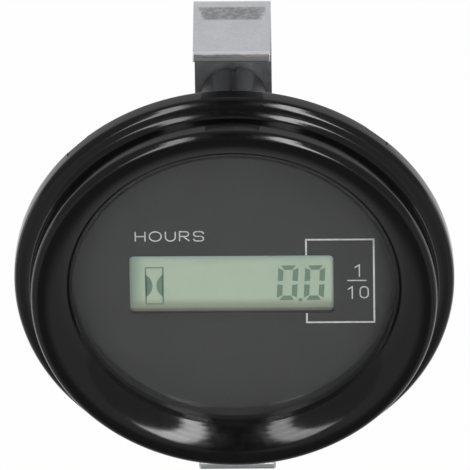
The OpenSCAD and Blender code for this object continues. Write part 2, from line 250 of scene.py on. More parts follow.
def combine(piece, operation, *others):
    """Unites a piece with others, cuts them from it, or keeps what they share, and drops the others."""
    for other in others:
        modify(piece, "BOOLEAN", operation=operation, object=other, solver="EXACT")
        bpy.data.objects.remove(other)
    return piece


def soften(piece, width, segments=2, degrees=30):
    """Rounds the sharp edges of a piece."""
    return modify(piece, "BEVEL", width=width, segments=segments, limit_method="ANGLE",
                  angle_limit=math.radians(degrees), harden_normals=False)


def shift(piece, x=0.0, y=0.0, z=0.0):
    """Moves the mesh of a piece and leaves its object at the origin."""
    take(piece, "EDIT")
    bpy.ops.mesh.select_all(action="SELECT")
    bpy.ops.transform.translate(value=(x, y, z))
    rest()
    return piece


def swing(piece, degrees):
    """Turns the mesh of a piece about Y. With no window the operator turns the other way."""
    take(piece, "EDIT")
    bpy.ops.mesh.select_all(action="SELECT")
    bpy.ops.transform.rotate(value=math.radians(degrees), orient_axis="Y", center_override=(0, 0, 0))
    rest()
    return piece


def twin(piece, name):
    """A copy of a piece with its own mesh."""
    take(piece)
    bpy.ops.object.duplicate(linked=False)
    copy = bpy.context.object
    copy.name = name
    return copy


def dress(piece, body, slot, material, *nodes, smooth=32):
    """Shades a piece, gives it its material, and ties it to its body and CAD nodes. Its slot is not used.
    """
    if not piece.data.polygons:
        raise RuntimeError(piece.name + " has no faces")
    take(piece)
    bpy.ops.object.shade_smooth_by_angle(angle=math.radians(smooth))
    piece.data.materials.clear()
    piece.data.materials.append(material)
    rest()
    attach(piece, body)
    if nodes:
        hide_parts(*nodes)
    return piece


def paint(node, material):
    """Gives a carried-over CAD node a new material."""
    for place in frame["nodes"][node].material_slots:
        place.material = material


class Section:
    """Lines drawn point by point in one plane, to be turned, filled or made into strokes."""

    PLANES = {"XY": (Vector((1, 0, 0)), Vector((0, 1, 0))),
              "XZ": (Vector((1, 0, 0)), Vector((0, 0, 1))),
              "YZ": (Vector((0, 1, 0)), Vector((0, 0, 1)))}

    def __init__(self, name, plane="XY", at=0.0):
        self.name = name
        self.across, self.up = self.PLANES[plane]
        self.normal = self.across.cross(self.up)
        self.base = self.normal * at
        self.piece = None

    def place(self, point):
        return self.base + self.across * point[0] + self.up * point[1]

    def start(self, *point):
        """Begins a line: a small plane is merged into one vertex."""
        if self.piece is None:
            rest()
        bpy.ops.mesh.primitive_plane_add(size=MM, location=self.place(point))
        if self.piece is None:
            self.piece = bpy.context.object
            self.piece.name = self.name
            bpy.ops.object.transform_apply(location=True, rotation=False, scale=False)
            bpy.ops.object.mode_set(mode="EDIT")
            bpy.ops.mesh.select_all(action="SELECT")
        bpy.ops.mesh.merge(type="CENTER")
        self.tip = self.first = self.place(point)
        return self

    def line(self, *points):
        """Goes straight to each point in turn."""
        for point in points:
            step = self.place(point) - self.tip
            bpy.ops.mesh.extrude_region_move(TRANSFORM_OT_translate={"value": step})
            self.tip = self.tip + step
        return self

    def arc(self, centre, degrees, steps=8):
        """Goes round a centre. Spin turns clockwise for a positive angle, so it gets the opposite sign."""
        middle = self.place(centre)
        angle = math.radians(degrees)
        bpy.ops.mesh.spin(steps=steps, angle=-angle, center=middle, axis=self.normal)
        self.tip = middle + Matrix.Rotation(angle, 3, self.normal) @ (self.tip - middle)
        return self

    def close(self):
        """Goes back to the first point and fills the outline with one face."""
        bpy.ops.mesh.extrude_region_move(TRANSFORM_OT_translate={"value": self.first - self.tip})
        bpy.ops.mesh.select_linked()
        bpy.ops.mesh.remove_doubles(threshold=WELD)
        bpy.ops.mesh.edge_face_add()
        return self

    def turned(self, steps=96, degrees=360.0):
        """Turns everything drawn about Y."""
        bpy.ops.mesh.select_all(action="SELECT")
        bpy.ops.mesh.spin(steps=steps, angle=math.radians(degrees), center=(0, 0, 0), axis=(0, 1, 0))
        return settle(self.piece)

    def raised(self, height):
        """Extrudes everything drawn along the plane's normal."""
        bpy.ops.mesh.select_all(action="SELECT")
        bpy.ops.mesh.extrude_region_move(TRANSFORM_OT_translate={"value": self.normal * height})
        return settle(self.piece)

    def stroked(self, height, width):
        """Gives everything drawn a height along the normal and a stroke width in the plane."""
        bpy.ops.mesh.select_all(action="SELECT")
        bpy.ops.mesh.extrude_region_move(TRANSFORM_OT_translate={"value": self.normal * height})
        rest()
        modify(self.piece, "SOLIDIFY", thickness=width, offset=0, use_even_offset=True)
        return settle(self.piece)


def rod(name, radius, low, high, bevel=0.0, steps=64):
    """A turned pin along Y with bevelled ends."""
    section = Section(name).start(0, low).line((radius - bevel, low))
    if bevel:
        section.line((radius, low + bevel), (radius, high - bevel))
    else:
        section.line((radius, high))
    return section.line((radius - bevel, high), (0, high)).turned(steps)


def block(name, low, high):
    """A box between two corners."""
    rest()
    bpy.ops.mesh.primitive_cube_add(size=1, location=(low + high) / 2)
    piece = bpy.context.object
    piece.name = name
    piece.scale = high - low
    bpy.ops.object.transform_apply(location=True, rotation=False, scale=True)
    return settle(piece)


# Shader helpers


class Wire:
    """An output socket whose arithmetic adds Math nodes to its node tree."""

    def __init__(self, finish, socket):
        self.finish = finish
        self.socket = socket

    def maths(self, operation, *terms):
        return self.finish.add("ShaderNodeMath", {"operation": operation}, dict(enumerate(terms)))

    def __add__(self, other):
        return self.maths("ADD", self, other)

    def __sub__(self, other):
        return self.maths("SUBTRACT", self, other)

    def __rsub__(self, other):
        return self.maths("SUBTRACT", other, self)

    def __mul__(self, other):
        return self.maths("MULTIPLY", self, other)

    def __abs__(self):
        return self.maths("ABSOLUTE", self)

    def __gt__(self, other):
        return self.maths("GREATER_THAN", self, other)

    __radd__ = __add__
    __rmul__ = __mul__


class Finish:
    """A node tree that is built by naming each node's type, settings and sockets."""

    def __init__(self, name, tree=None):
        if tree is None:
            self.material = bpy.data.materials.new(name)
            self.material.use_nodes = True
            tree = self.material.node_tree
        tree.nodes.clear()
        self.tree = tree

    def add(self, kind, settings=None, sockets=None, out=0):
        node = self.tree.nodes.new(kind)
        for name, value in (settings or {}).items():
            setattr(node, name, value)
        for name, value in (sockets or {}).items():
            if isinstance(value, Wire):
                self.tree.links.new(value.socket, node.inputs[name])
            else:
                node.inputs[name].default_value = value
        return Wire(self, node.outputs[out])

    def spot(self):
        """Object coordinates."""
        return self.add("ShaderNodeTexCoord", out="Object")

    def axes(self):
        """Object coordinates as three numbers."""
        node = self.add("ShaderNodeSeparateXYZ", {}, {0: self.spot()}).socket.node
        return [Wire(self, socket) for socket in node.outputs]

    def stretched(self, x, y, z):
        """Object coordinates with their own scale on each axis."""
        return self.add("ShaderNodeMapping", {}, {"Vector": self.spot(), "Scale": (x, y, z)})

    def noise(self, scale, detail=3.0, vector=None):
        sockets = {"Vector": vector or self.spot(), "Scale": scale, "Detail": detail}
        return self.add("ShaderNodeTexNoise", {}, sockets)

    def stripes(self, value, width):
        """Goes from 0 to 1 over a width, then back to 0 over the next, and so on."""
        return value.maths("PINGPONG", value * (1 / width), 1.0)

    def between(self, value, low, high, start=0.0, end=1.0):
        """A smooth step from start, where a value is at low, to end, where it is at high."""
        sockets = {"Value": value, "From Min": low, "From Max": high, "To Min": start, "To Max": end}
        return self.add("ShaderNodeMapRange", {"interpolation_type": "SMOOTHSTEP"}, sockets)

    def mix(self, factor, first, second):
        """A colour between two others. Sockets 6 and 7 are the colours, and output 2 is theirs."""
        sockets = {0: factor, 6: rgba(first), 7: rgba(second)}
        return self.add("ShaderNodeMix", {"data_type": "RGBA"}, sockets, out=2)

    def bump(self, height, strength, depth):
        sockets = {"Height": height, "Strength": strength, "Distance": depth}
        return self.add("ShaderNodeBump", {}, sockets, out="Normal")

    def surface(self, shader):
        self.add_output("ShaderNodeOutputMaterial", shader)
        return self.material

    def add_output(self, kind, shader):
        node = self.tree.nodes.new(kind)
        self.tree.links.new(shader.socket, node.inputs["Surface"])

    def coat(self, sockets):
        """Ends the tree in one Principled shader with these sockets, and gives the material."""
        return self.surface(self.add("ShaderNodeBsdfPrincipled", {}, sockets))


def rgba(shade):
    """A colour with full alpha, or a link as it is."""
    return shade if isinstance(shade, Wire) else (*shade[:3], 1.0)


def tone(shade, factor):
    """A lighter or darker colour."""
    return tuple(channel * factor for channel in shade[:3])


# Finishes of the outside


def gloss_black(shade):
    """Moulded glossy plastic with a faint ripple and a little dust."""
    f = Finish("bezel_plastic")
    ripple = f.noise(260, 2)
    dust = f.between(f.noise(5200, 2), 0.72, 0.80)
    sockets = {"Base Color": f.mix(dust * 0.25, shade, (0.05, 0.05, 0.05)),
               "Roughness": f.between(f.noise(900, 4), 0.3, 0.7, 0.10, 0.15) + dust * 0.1,
               "Normal": f.bump(ripple, 0.06, 0.02 * MM)}
    return f.coat(sockets)


def clear_pane():
    """Clear acrylic. Shadow rays pass, so the lamps reach the dial."""
    f = Finish("lens_clear")
    smudge = f.between(f.noise(140, 4), 0.45, 0.75, 0.0, 0.05)
    sockets = {"Base Color": (0.97, 0.98, 0.98, 1), "Roughness": smudge, "IOR": 1.49,
               "Transmission Weight": 1.0, "Specular IOR Level": 0.36}
    glass = f.add("ShaderNodeBsdfPrincipled", {}, sockets)
    clear = f.add("ShaderNodeBsdfTransparent")
    shadow = f.add("ShaderNodeLightPath", out="Is Shadow Ray")
    return f.surface(f.add("ShaderNodeMixShader", {}, {0: shadow, 1: glass, 2: clear}))


def black_rubber():
    """Soft black rubber with a dull bloom."""
    f = Finish("seal_rubber")
    bloom = f.noise(1500, 4)
    sockets = {"Base Color": f.mix(bloom, (0.010, 0.010, 0.011), (0.016, 0.016, 0.017)),
               "Roughness": 0.75, "Normal": f.bump(bloom, 0.2, 0.03 * MM)}
    return f.coat(sockets)


def dial_print(shade):
    """Screen-printed matt film with a fine grain."""
    f = Finish("dial_print")
    grain = f.noise(4200, 3)
    cloud = f.noise(130, 3)
    sockets = {"Base Color": f.mix(grain * 0.5 + cloud * 0.5, tone(shade, 0.86), tone(shade, 1.14)),
               "Roughness": f.between(cloud, 0.3, 0.7, 0.55, 0.68),
               "Normal": f.bump(grain, 0.05, 0.01 * MM)}
    return f.coat(sockets)


def legend_ink(shade):
    """Light printing ink, a little thin in places."""
    f = Finish("legend_ink")
    thin = f.between(f.noise(3000, 3), 0.35, 0.75)
    sockets = {"Base Color": f.mix(thin, shade, tone(shade, 0.72)), "Roughness": 0.6}
    return f.coat(sockets)


def display_film(shade, dial):
    """The display's face: green grey, bluer at its left end, with painted shade along its lower and top
    edges.
    """
    f = Finish("display_film")
    x, _, z = f.axes()
    left = dial.window_x - dial.window_w / 2
    low = dial.window_z - dial.window_h / 2
    high = dial.window_z + dial.window_h / 2
    cloud = f.noise(420, 3)
    face = f.mix(cloud, tone(shade, 0.95), tone(shade, 1.05))
    # Where each tint starts and where it is full, how much of it shows then, and its colour. The last three
    # are painted shade: olive brown towards the lower edge, a dark painted shadow along that edge, and a
    # darker blue grey under the top edge
    tints_and_painted_shade = ((x, left + 2.4 * MM, left, 0.9, (0.14, 0.185, 0.16)),
             (z, low + 2.3 * MM, low + 0.8 * MM, 0.8, (0.155, 0.17, 0.13)),
             (z, low + 0.75 * MM, low + 0.25 * MM, 0.75, (0.06, 0.055, 0.045)),
             (z, high - 1.3 * MM, high - 0.4 * MM, 0.55, (0.19, 0.26, 0.245)))
    for axis, start, full, share, tint in tints_and_painted_shade:
        face = f.mix(f.between(axis, start, full, 0, share), face, tint)
    sockets = {"Base Color": face, "Roughness": f.between(cloud, 0.3, 0.7, 0.32, 0.42)}
    return f.coat(sockets)


def segment_dye(shade):
    """The darkened liquid crystal of a segment."""
    f = Finish("segment_dye")
    cloud = f.noise(1800, 2)
    sockets = {"Base Color": f.mix(cloud, tone(shade, 0.9), tone(shade, 1.1)), "Roughness": 0.4}
    return f.coat(sockets)


def zinc_plate(shade):
    """Zinc plated strip with rolling grain, a darker band by the bend that is a painted dark reflection,
    and sheared ends.

    The shears draw the outer edge of an end in, and that rounding gets a painted highlight; then they tear
    the strip and break it off. The end of the upper leg shows this most, with a trace of rust on its tear.
    """
    f = Finish("zinc_strip")
    x, y, z = f.axes()
    grain = f.noise(1.0, 4, f.stretched(9000, 700, 700))
    cloud = f.noise(330, 4)
    fleck = f.noise(2600, 3)
    low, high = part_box("mounting_bracket")
    upper = f.between(z, 0.0, 1 * MM, 0.4, 1.0)
    end = upper * f.between(y, low.y + 0.40 * MM, low.y + 0.15 * MM)
    tear = abs(abs(z) + cloud * 0.4 * MM - (high.z - 0.05 * MM))
    sheared = end * f.between(tear, 0.26 * MM, 0.08 * MM)
    broken = end * f.between(abs(z), high.z - 0.2 * MM, high.z - 0.4 * MM)
    # Painted highlight on the rounding at the end of each leg, strongest on the upper leg
    drawn = upper * f.between(y, low.y + 1.0 * MM, low.y + 0.6 * MM)
    rust = sheared * f.between(x, 0.8 * MM, 2.2 * MM) * f.between(z, 0.0, 1 * MM)
    # A darker, slightly rougher band beside the bend, narrower towards the end of the leg. Its darkness is
    # a painted dark reflection
    bend_y = high.y - 3 * MM
    band_place = f.between(y, bend_y - 3.2 * MM, bend_y - 2.6 * MM)
    band_place = band_place * f.between(y, bend_y + 0.3 * MM, bend_y - 0.1 * MM)
    ragged = abs(x) - y * 0.3 + bend_y * 0.3 + (fleck - 0.5) * 1.2 * MM
    band_place = band_place * f.between(ragged, 4.9 * MM, 4.3 * MM)
    band_place = band_place * f.between(abs(z), high.z - 0.5 * MM, high.z - 0.2 * MM)
    dark_reflection_band = band_place * f.between(f.noise(1700, 4), 0.3, 0.62, 0.55, 1.0)
    body = f.mix(f.between(cloud * 0.5 + fleck * 0.5, 0.3, 0.7), tone(shade, 0.87), tone(shade, 1.0))
    # What lies over the plating, how much of it shows, and how light it is. The dark band by the bend is a
    # painted dark reflection, and the light rounding at a leg's end is a painted highlight
    layers = ((dark_reflection_band, 0.8, 0.36), (drawn, 0.6, 1.45), (broken, 0.85, 0.33), (sheared, 0.9, 0.08))
    for mask, share, lightness in layers:
        body = f.mix(mask * share, body, tone(shade, lightness))
    sockets = {"Base Color": f.mix(rust * 0.5, body, (0.2, 0.135, 0.095)),
               "Metallic": 0.92 - rust * 0.5,
               "Roughness": f.between(grain, 0.3, 0.7, 0.38, 0.50) + dark_reflection_band * 0.1,
               "Normal": f.bump(grain * 0.6 + fleck * 0.4, 0.22, 0.015 * MM)}
    return f.coat(sockets)


def satin_black(shade):
    """Moulded plastic with a fine spark-eroded grain."""
    f = Finish("case_plastic")
    grain = f.noise(3600, 3)
    sockets = {"Base Color": f.mix(f.noise(200, 3), tone(shade, 0.85), tone(shade, 1.2)),
               "Roughness": f.between(grain, 0.3, 0.7, 0.40, 0.52),
               "Normal": f.bump(grain, 0.2, 0.02 * MM)}
    return f.coat(sockets)


def brushed_metal(name, shade, scale, rough=(0.25, 0.4)):
    """Plain metal with fine tool marks, stretched as scale says on each axis."""
    f = Finish(name)
    marks = f.noise(1.0, 3, f.stretched(*scale))
    cloud = f.noise(420, 3)
    sockets = {"Base Color": f.mix(cloud, tone(shade, 0.85), tone(shade, 1.1)), "Metallic": 1.0,
               "Roughness": f.between(marks, 0.3, 0.7, *rough),
               "Normal": f.bump(marks, 0.15, 0.01 * MM)}
    return f.coat(sockets)


# Finishes of the inside


def moulded(name, shade, rough=0.5, grain_scale=2500):
    """Plain moulded or coated body with a fine grain."""
    f = Finish(name)
    grain = f.noise(grain_scale, 3)
    sockets = {"Base Color": f.mix(grain, tone(shade, 0.85), tone(shade, 1.12)),
               "Roughness": f.between(grain, 0.3, 0.7, rough - 0.08, rough + 0.08),
               "Normal": f.bump(grain, 0.2, 0.015 * MM)}
    return f.coat(sockets)


def board_laminate():
    """Green solder mask over woven glass."""
    f = Finish("board_laminate")
    thread = {"Vector": f.spot(), "Scale": 420.0}
    across, along = [f.add("ShaderNodeTexWave", {"bands_direction": way}, thread, out="Fac")
                     for way in "XZ"]
    weave = across * 0.5 + along * 0.5
    sockets = {"Base Color": f.mix(weave, (0.014, 0.10, 0.035), (0.03, 0.17, 0.07)), "Roughness": 0.35,
               "Normal": f.bump(weave, 0.1, 0.02 * MM)}
    return f.coat(sockets)


def striped_rubber():
    """Contact strip: thin layers of conducting and plain rubber across its length."""
    f = Finish("contact_strip")
    layers = f.stripes(f.axes()[0], 0.18 * MM) > 0.5
    sockets = {"Base Color": f.mix(layers, (0.35, 0.35, 0.37), (0.015, 0.015, 0.016)), "Roughness": 0.7}
    return f.coat(sockets)


def display_glass():
    """The bonded display sheets, with faint electrode lines."""
    f = Finish("display_glass")
    lines = f.stripes(f.axes()[2], 0.5 * MM) > 0.9
    sockets = {"Base Color": f.mix(lines * 0.3, (0.40, 0.44, 0.38), (0.55, 0.58, 0.55)), "Roughness": 0.12}
    return f.coat(sockets)


# Operators, one for each piece or group of like pieces


class HOURMETER_OT_bezel(bpy.types.Operator):
    """Turn the glossy black bezel and cut the four small notches in its rim"""

    bl_idname = "hour_meter.bezel"
    bl_label = "Bezel"
    bl_options = {"REGISTER", "UNDO"}
    notch_degrees = (49, 135, 225, 315)

    def execute(self, context):
        meter = context.scene.hour_meter
        piece = self.section(meter.bezel).turned(256)
        combine(piece, "DIFFERENCE", self.notches(meter.bezel))
        dress(piece, "meter", "bezel_plastic", gloss_black(meter.colours.bezel), "front_bezel", smooth=25)
        return {"FINISHED"}

    def section(self, b):
        ring_r = BEZEL_R - b.rim_w
        crest_r = ring_r - b.crest_round
        run = crest_r - b.lip_r
        face_r = (run * run + b.lip_drop * b.lip_drop) / (2 * b.lip_drop)
        face_degrees = math.degrees(math.asin(run / face_r))
        front, rear, root = b.rim_front_round, b.rim_rear_round, b.root_round
        flank = 90 - math.degrees(b.flank_tilt)
        tangent = math.tan(math.radians(flank) / 2)
        root_y = -b.flange_t - b.rim_w * math.tan(b.flank_tilt) - root * tangent
        rim_y = -b.flange_t + front * tangent
        rim_start = (BEZEL_R - front + front * math.sin(b.flank_tilt),
                     rim_y - front * math.cos(b.flank_tilt))
        s = Section("bezel_ring").start(b.opening_r, LENS_FRONT).line((b.lip_r, BEZEL_FRONT + b.lip_drop))
        s.arc((crest_r, BEZEL_FRONT + face_r), face_degrees, 24)
        s.arc((crest_r, BEZEL_FRONT + b.crest_round), 90, 14)
        s.line((ring_r, root_y)).arc((ring_r + root, root_y), -flank, 12)
        s.line(rim_start).arc((BEZEL_R - front, rim_y), flank, 12)
        s.line((BEZEL_R, -rear)).arc((BEZEL_R - rear, -rear), 90, 6)
        s.line((b.pocket_r, 0), (b.pocket_r, -b.pocket_depth), (b.bore_r, -b.pocket_depth))
        return s.line((b.bore_r, LENS_FRONT), (b.opening_r, LENS_FRONT))

    def notches(self, b):
        """Four cutters round the rim, as one mesh."""
        cutters = None
        for degrees in self.notch_degrees:
            low = Vector((BEZEL_R - b.notch_depth, -b.notch_reach, -b.notch_w / 2))
            cutter = block("notch_cutter", low, Vector((BEZEL_R + MM, MM, b.notch_w / 2)))
            swing(cutter, degrees)
            cutters = combine(cutters, "UNION", cutter) if cutters else cutter
        return cutters


class HOURMETER_OT_lens(bpy.types.Operator):
    """Make the clear lens and the seal behind it"""

    bl_idname = "hour_meter.lens"
    bl_label = "Lens and seal"
    bl_options = {"REGISTER", "UNDO"}

    def execute(self, context):
        pane = rod("lens_pane", DISC_R, LENS_FRONT, LENS_REAR, bevel=0.15 * MM, steps=160)
        dress(pane, "meter", "lens_clear", clear_pane(), "lens")
        paint("lens_seal", black_rubber())
        return {"FINISHED"}


class HOURMETER_OT_dial(bpy.types.Operator):
    """Make the dial disc with its display window"""

    bl_idname = "hour_meter.dial"
    bl_label = "Dial"
    bl_options = {"REGISTER", "UNDO"}

    def execute(self, context):
        meter = context.scene.hour_meter
        d = meter.dial
        disc = rod("dial_disc", DISC_R, DIAL_FRONT, DIAL_REAR, bevel=0.05 * MM, steps=128)
        combine(disc, "DIFFERENCE", self.window(d))
        dress(disc, "meter", "dial_print", dial_print(meter.colours.dial), "dial_plate")
        return {"FINISHED"}

    def window(self, d):
        """The window's cutter: a box with four round corners."""
        x, z, r = d.window_x, d.window_z, d.window_round
        half_w, half_h = d.window_w / 2, d.window_h / 2
        inner_w, inner_h = half_w - r, half_h - r
        s = Section("window_cutter", "XZ", -DIAL_REAR - MM)
        s.start(x + inner_w, z - half_h).arc((x + inner_w, z - inner_h), 90, 6)
        s.line((x + half_w, z + inner_h)).arc((x + inner_w, z + inner_h), 90, 6)
        s.line((x - inner_w, z + half_h)).arc((x - inner_w, z + inner_h), 90, 6)
        s.line((x - half_w, z - inner_h)).arc((x - inner_w, z - inner_h), 90, 6)
        return s.close().raised(DIAL_REAR - DIAL_FRONT + 2 * MM)


class HOURMETER_OT_legend(bpy.types.Operator):
    """Print the legend: the word over the window, the fraction and the line around the tenths"""

    bl_idname = "hour_meter.legend"
    bl_label = "Legend"
    bl_options = {"REGISTER", "UNDO"}

    word_left = -13.5 * MM
    word_base = 5.65 * MM
    cap_h = 1.7 * MM
    letter_gap = 0.42 * MM
    box_left, box_right = 9.82 * MM, 19.03 * MM
    box_top, box_low = 5.82 * MM, -7.87 * MM

    def execute(self, context):
        meter = context.scene.hour_meter
        d = meter.dial
        ink = legend_ink(meter.colours.legend)
        dress(self.box_line(d), "meter", "dial_print", ink)
        dress(self.lettering(d), "meter", "dial_print", ink)
        return {"FINISHED"}

    def box_line(self, d):
        edge = 0.06 * MM
        window_top, window_low = d.window_z + d.window_h / 2 + edge, d.window_z - d.window_h / 2 - edge
        left, right, top, low = self.box_left, self.box_right, self.box_top, self.box_low
        s = Section("tenths_box", "XZ", -DIAL_FRONT).start(left, window_top)
        s.line((left, top), (right, top), (right, low), (left, low), (left, window_low))
        return s.stroked(d.print_t, d.box_stroke)

    def lettering(self, d):
        s = Section("dial_lettering", "XZ", -DIAL_FRONT)
        half = d.letter_stroke / 2
        left, low, high = self.word_left + half, self.word_base + half, self.word_base + self.cap_h - half
        widths = {"h": 1.49 * MM, "o": 1.78 * MM, "u": 1.5 * MM, "r": 1.5 * MM, "s": 1.5 * MM}
        for letter, width in widths.items():
            getattr(self, "letter_" + letter)(s, left, left + width - 2 * half, low, high)
            left += width + self.letter_gap
        self.fraction(s)
        return s.stroked(d.print_t, d.letter_stroke)

    def letter_h(self, s, left, right, low, high):
        middle = (low + high) / 2
        for x in (left, right):
            s.start(x, low).line((x, high))
        s.start(left, middle).line((right, middle))

    def letter_o(self, s, left, right, low, high):
        r = (high - low) / 2
        s.start(left + r, low).line((right - r, low)).arc((right - r, low + r), 180, 16)
        s.line((left + r, high)).arc((left + r, low + r), 180, 16)

    def letter_u(self, s, left, right, low, high):
        r = (right - left) / 2
        s.start(left, high).line((left, low + r)).arc((left + r, low + r), 180, 16).line((right, high))

    def letter_r(self, s, left, right, low, high):
        r = (high - low) / 4
        bowl = right - r - 0.1 * MM
        s.start(left, low).line((left, high), (bowl, high)).arc((bowl, high - r), -180, 10)
        s.line((left, high - 2 * r))
        s.start(bowl - r, high - 2 * r).line((right, low))

    def letter_s(self, s, left, right, low, high):
        r = (high - low) / 4
        s.start(right, high - r).arc((right - r, high - r), 90, 6).line((left + r, high))
        s.arc((left + r, high - r), 180, 10).line((right - r, high - 2 * r))
        s.arc((right - r, low + r), -180, 10).line((left + r, low)).arc((left + r, low + r), -90, 6)

    def fraction(self, s):
        """A one over a ten, each figure drawn from its own few points."""
        s.start(16.40 * MM, 1.15 * MM).line((17.05 * MM, 1.60 * MM), (17.05 * MM, -0.32 * MM))
        s.start(15.40 * MM, -0.97 * MM).line((18.00 * MM, -0.97 * MM))
        s.start(15.45 * MM, -2.45 * MM).line((16.05 * MM, -2.02 * MM), (16.05 * MM, -3.97 * MM))
        left, right, low, high = 17.13 * MM, 18.22 * MM, -3.84 * MM, -2.01 * MM
        r = (right - left) / 2
        s.start(left, high - r).line((left, low + r)).arc((left + r, low + r), 180, 14)
        s.line((right, high - r)).arc((left + r, high - r), 180, 14)


class HOURMETER_OT_display(bpy.types.Operator):
    """Finish the display: its film, the digits with their point, and the hourglass"""

    bl_idname = "hour_meter.display"
    bl_label = "Display"
    bl_options = {"REGISTER", "UNDO"}

    digit_x = (7.24 * MM, 10.91 * MM)
    digit_z = -1.7 * MM
    point_x, point_z, point_side = 8.95 * MM, -4.53 * MM, 0.5 * MM
    glass_x, glass_z = -10.93 * MM, -2.08 * MM
    glass_w, glass_h = 2.36 * MM, 6.0 * MM
    glass_line = 0.2 * MM
    side_share = 0.62
    waist = 0.26 * MM

    def execute(self, context):
        meter = context.scene.hour_meter
        d, shades = meter.dial, meter.colours
        paint("lcd_front_polarizer", display_film(shades.display, d))
        dye = segment_dye(shades.segment)
        dress(self.digits(d), "meter", "display_film", dye)
        dress(self.hourglass_sides(d), "meter", "display_film", dye)
        dress(self.hourglass_line(d), "meter", "display_film", dye)
        return {"FINISHED"}

    def digits(self, d):
        s = Section("display_digits", "XZ", -FILM_FRONT)
        lean = math.tan(d.slant)
        for middle in self.digit_x:
            for outline in self.segments(d):
                points = [(middle + x + z * lean, self.digit_z + z) for x, z in outline]
                s.start(*points[0]).line(*points[1:]).close()
        half = self.point_side / 2
        corners = [(self.point_x + x * half, self.point_z + z * half) for x, z in CORNERS]
        s.start(*corners[0]).line(*corners[1:]).close()
        return s.raised(d.print_t)

    def segments(self, d):
        """The six segments of a nought about its middle."""
        half_w, half_h, t = d.digit_w / 2, d.digit_h / 2, d.segment_w
        gap = 0.16 * MM
        outer_gap, inner_gap = gap * 1.6, gap * 2.2
        chamfer = 0.22 * MM
        for up in (-1, 1):
            yield [(-half_w + chamfer + gap, up * half_h), (half_w - chamfer - gap, up * half_h),
                   (half_w - t - gap / 2, up * (half_h - t)), (-half_w + t + gap / 2, up * (half_h - t))]
            for side in (-1, 1):
                outer, inner = side * half_w, side * (half_w - t)
                yield [(outer, up * (half_h - chamfer - gap)), (outer, up * outer_gap),
                       (inner, up * inner_gap), (inner, up * (half_h - t - gap / 2))]

    def hourglass_sides(self, d):
        """Two dark sides, each between the frame's side and an arc that pinches the waist."""
        s = Section("hourglass_sides", "XZ", -FILM_FRONT)
        half_w, half_h = self.glass_w / 2, self.glass_h / 2 * self.side_share
        rise = half_w - self.waist
        r = (half_h * half_h + rise * rise) / (2 * rise)
        sweep = 2 * math.degrees(math.asin(half_h / r))
        for side in (-1, 1):
            edge = self.glass_x + side * half_w
            s.start(edge, self.glass_z + side * half_h)
            s.arc((edge + side * (r - rise), self.glass_z), sweep, 14).close()
        return s.raised(d.print_t)

    def hourglass_line(self, d):
        s = Section("hourglass_frame", "XZ", -FILM_FRONT)
        half_w, half_h = self.glass_w / 2, self.glass_h / 2
        corners = [(self.glass_x + x * half_w, self.glass_z + z * half_h) for x, z in CORNERS]
        s.start(*corners[0]).line(*corners[1:], corners[0])
        bpy.ops.mesh.select_all(action="SELECT")
        bpy.ops.mesh.remove_doubles(threshold=WELD)
        return s.stroked(d.print_t, self.glass_line)


